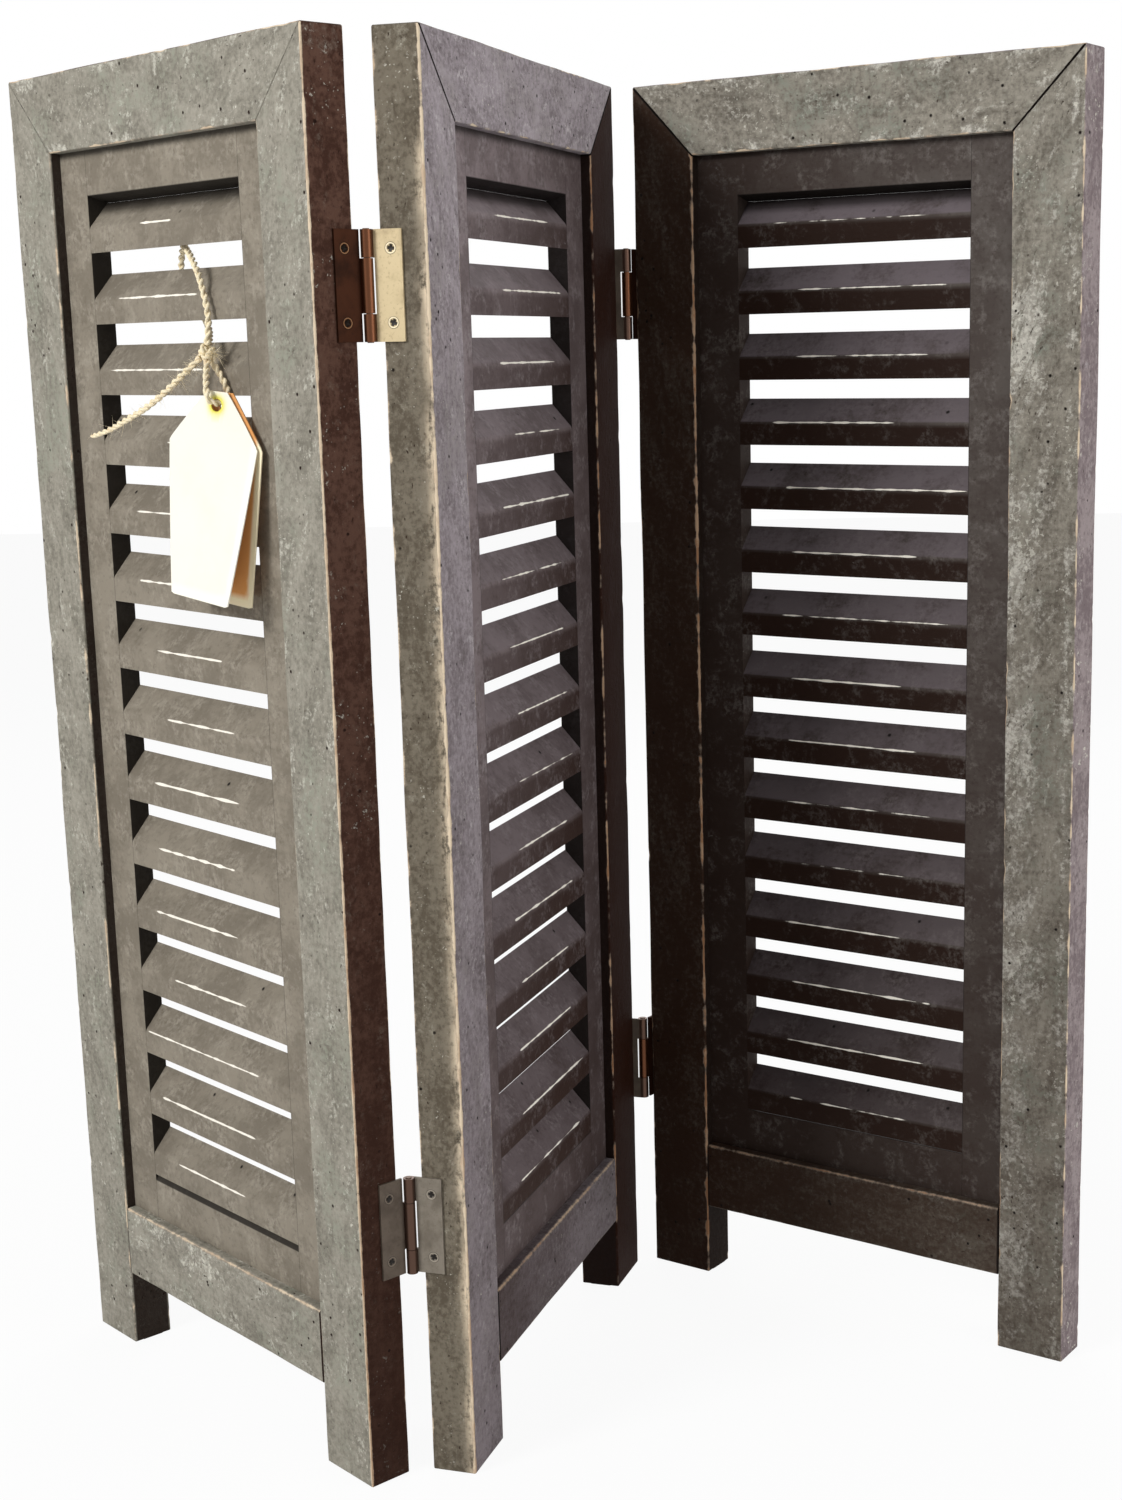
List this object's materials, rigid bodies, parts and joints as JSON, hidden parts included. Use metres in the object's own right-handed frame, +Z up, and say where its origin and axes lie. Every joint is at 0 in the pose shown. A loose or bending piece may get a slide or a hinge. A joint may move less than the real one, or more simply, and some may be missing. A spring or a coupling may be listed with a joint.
{
  "type": "folding window shutter",
  "caption": "Free-standing folding shutter: three painted wooden panels with fixed slanting louvres in mitred frames, joined zigzag by butt hinges.",
  "frame": {"origin": "on the floor, under the middle of the box round the whole shutter as it stands", "axes": "+Z up; the picture looks along +Y, and the left, middle and right panels follow each other along +X on a zigzag"},
  "size_m": [0.5647, 0.2941, 0.7],
  "materials": {
    "left_frame_paint": "matte, worn dark grey paint with bare wood at the arrises",
    "left_leaf_paint": "matte dark grey paint, smooth, rubbed through along the slat crests",
    "middle_frame_paint": "matte, worn dark grey paint with bare wood at the arrises",
    "middle_leaf_paint": "matte dark grey paint, smooth, rubbed through along the slat crests",
    "right_frame_paint": "matte, worn dark grey paint with bare wood at the arrises",
    "right_leaf_paint": "matte dark grey paint, smooth, rubbed through along the slat crests",
    "hinge_brass": "dull, browned",
    "hinge_pin": "dull, browned",
    "twine": "rough jute, two strands twisted, with loose hairs",
    "tag_card": "matte cream card, blank",
    "tag_kraft": "matte brown kraft card, blank"
  },
  "bodies": {
    "middle_panel": {"left_hinge_lower_fixed_leaf": "hinge_brass", "left_hinge_lower_pin": "hinge_pin", "left_hinge_upper_fixed_leaf": "hinge_brass", "left_hinge_upper_pin": "hinge_pin", "middle_frame_bottom_rail": "middle_frame_paint", "middle_frame_stile_a": "middle_frame_paint", "middle_frame_stile_b": "middle_frame_paint", "middle_frame_top_rail": "middle_frame_paint", "middle_leaf_bottom_rail": "middle_leaf_paint", "middle_leaf_stile_a": "middle_leaf_paint", "middle_leaf_stile_b": "middle_leaf_paint", "middle_leaf_top_rail": "middle_leaf_paint", "middle_slats": "middle_leaf_paint", "right_hinge_lower_fixed_leaf": "hinge_brass", "right_hinge_lower_pin": "hinge_pin", "right_hinge_upper_fixed_leaf": "hinge_brass", "right_hinge_upper_pin": "hinge_pin"},
    "left_panel": {"left_frame_bottom_rail": "left_frame_paint", "left_frame_stile_a": "left_frame_paint", "left_frame_stile_b": "left_frame_paint", "left_frame_top_rail": "left_frame_paint", "left_hinge_lower_moving_leaf": "hinge_brass", "left_hinge_upper_moving_leaf": "hinge_brass", "left_leaf_bottom_rail": "left_leaf_paint", "left_leaf_stile_a": "left_leaf_paint", "left_leaf_stile_b": "left_leaf_paint", "left_leaf_top_rail": "left_leaf_paint", "left_slats": "left_leaf_paint", "tag_back_card": "tag_kraft", "tag_front_card": "tag_card", "twine_knot": "twine", "twine_slat_loop": "twine", "twine_tag_loop": "twine", "twine_tail": "twine"},
    "right_panel": {"right_frame_bottom_rail": "right_frame_paint", "right_frame_stile_a": "right_frame_paint", "right_frame_stile_b": "right_frame_paint", "right_frame_top_rail": "right_frame_paint", "right_hinge_lower_moving_leaf": "hinge_brass", "right_hinge_upper_moving_leaf": "hinge_brass", "right_leaf_bottom_rail": "right_leaf_paint", "right_leaf_stile_a": "right_leaf_paint", "right_leaf_stile_b": "right_leaf_paint", "right_leaf_top_rail": "right_leaf_paint", "right_slats": "right_leaf_paint"}
  },
  "joints": [
    {"name": "left_fold", "type": "hinge", "parent": "middle_panel", "child": "left_panel", "pos_m": [-0.07457, -0.13005, 0.1325], "axis": [0, 0, 1], "range_deg": [-60, 120]},
    {"name": "right_fold", "type": "hinge", "parent": "middle_panel", "child": "right_panel", "pos_m": [0.03908, 0.12538, 0.1325], "axis": [0, 0, 1], "range_deg": [-73, 107]}
  ]
}
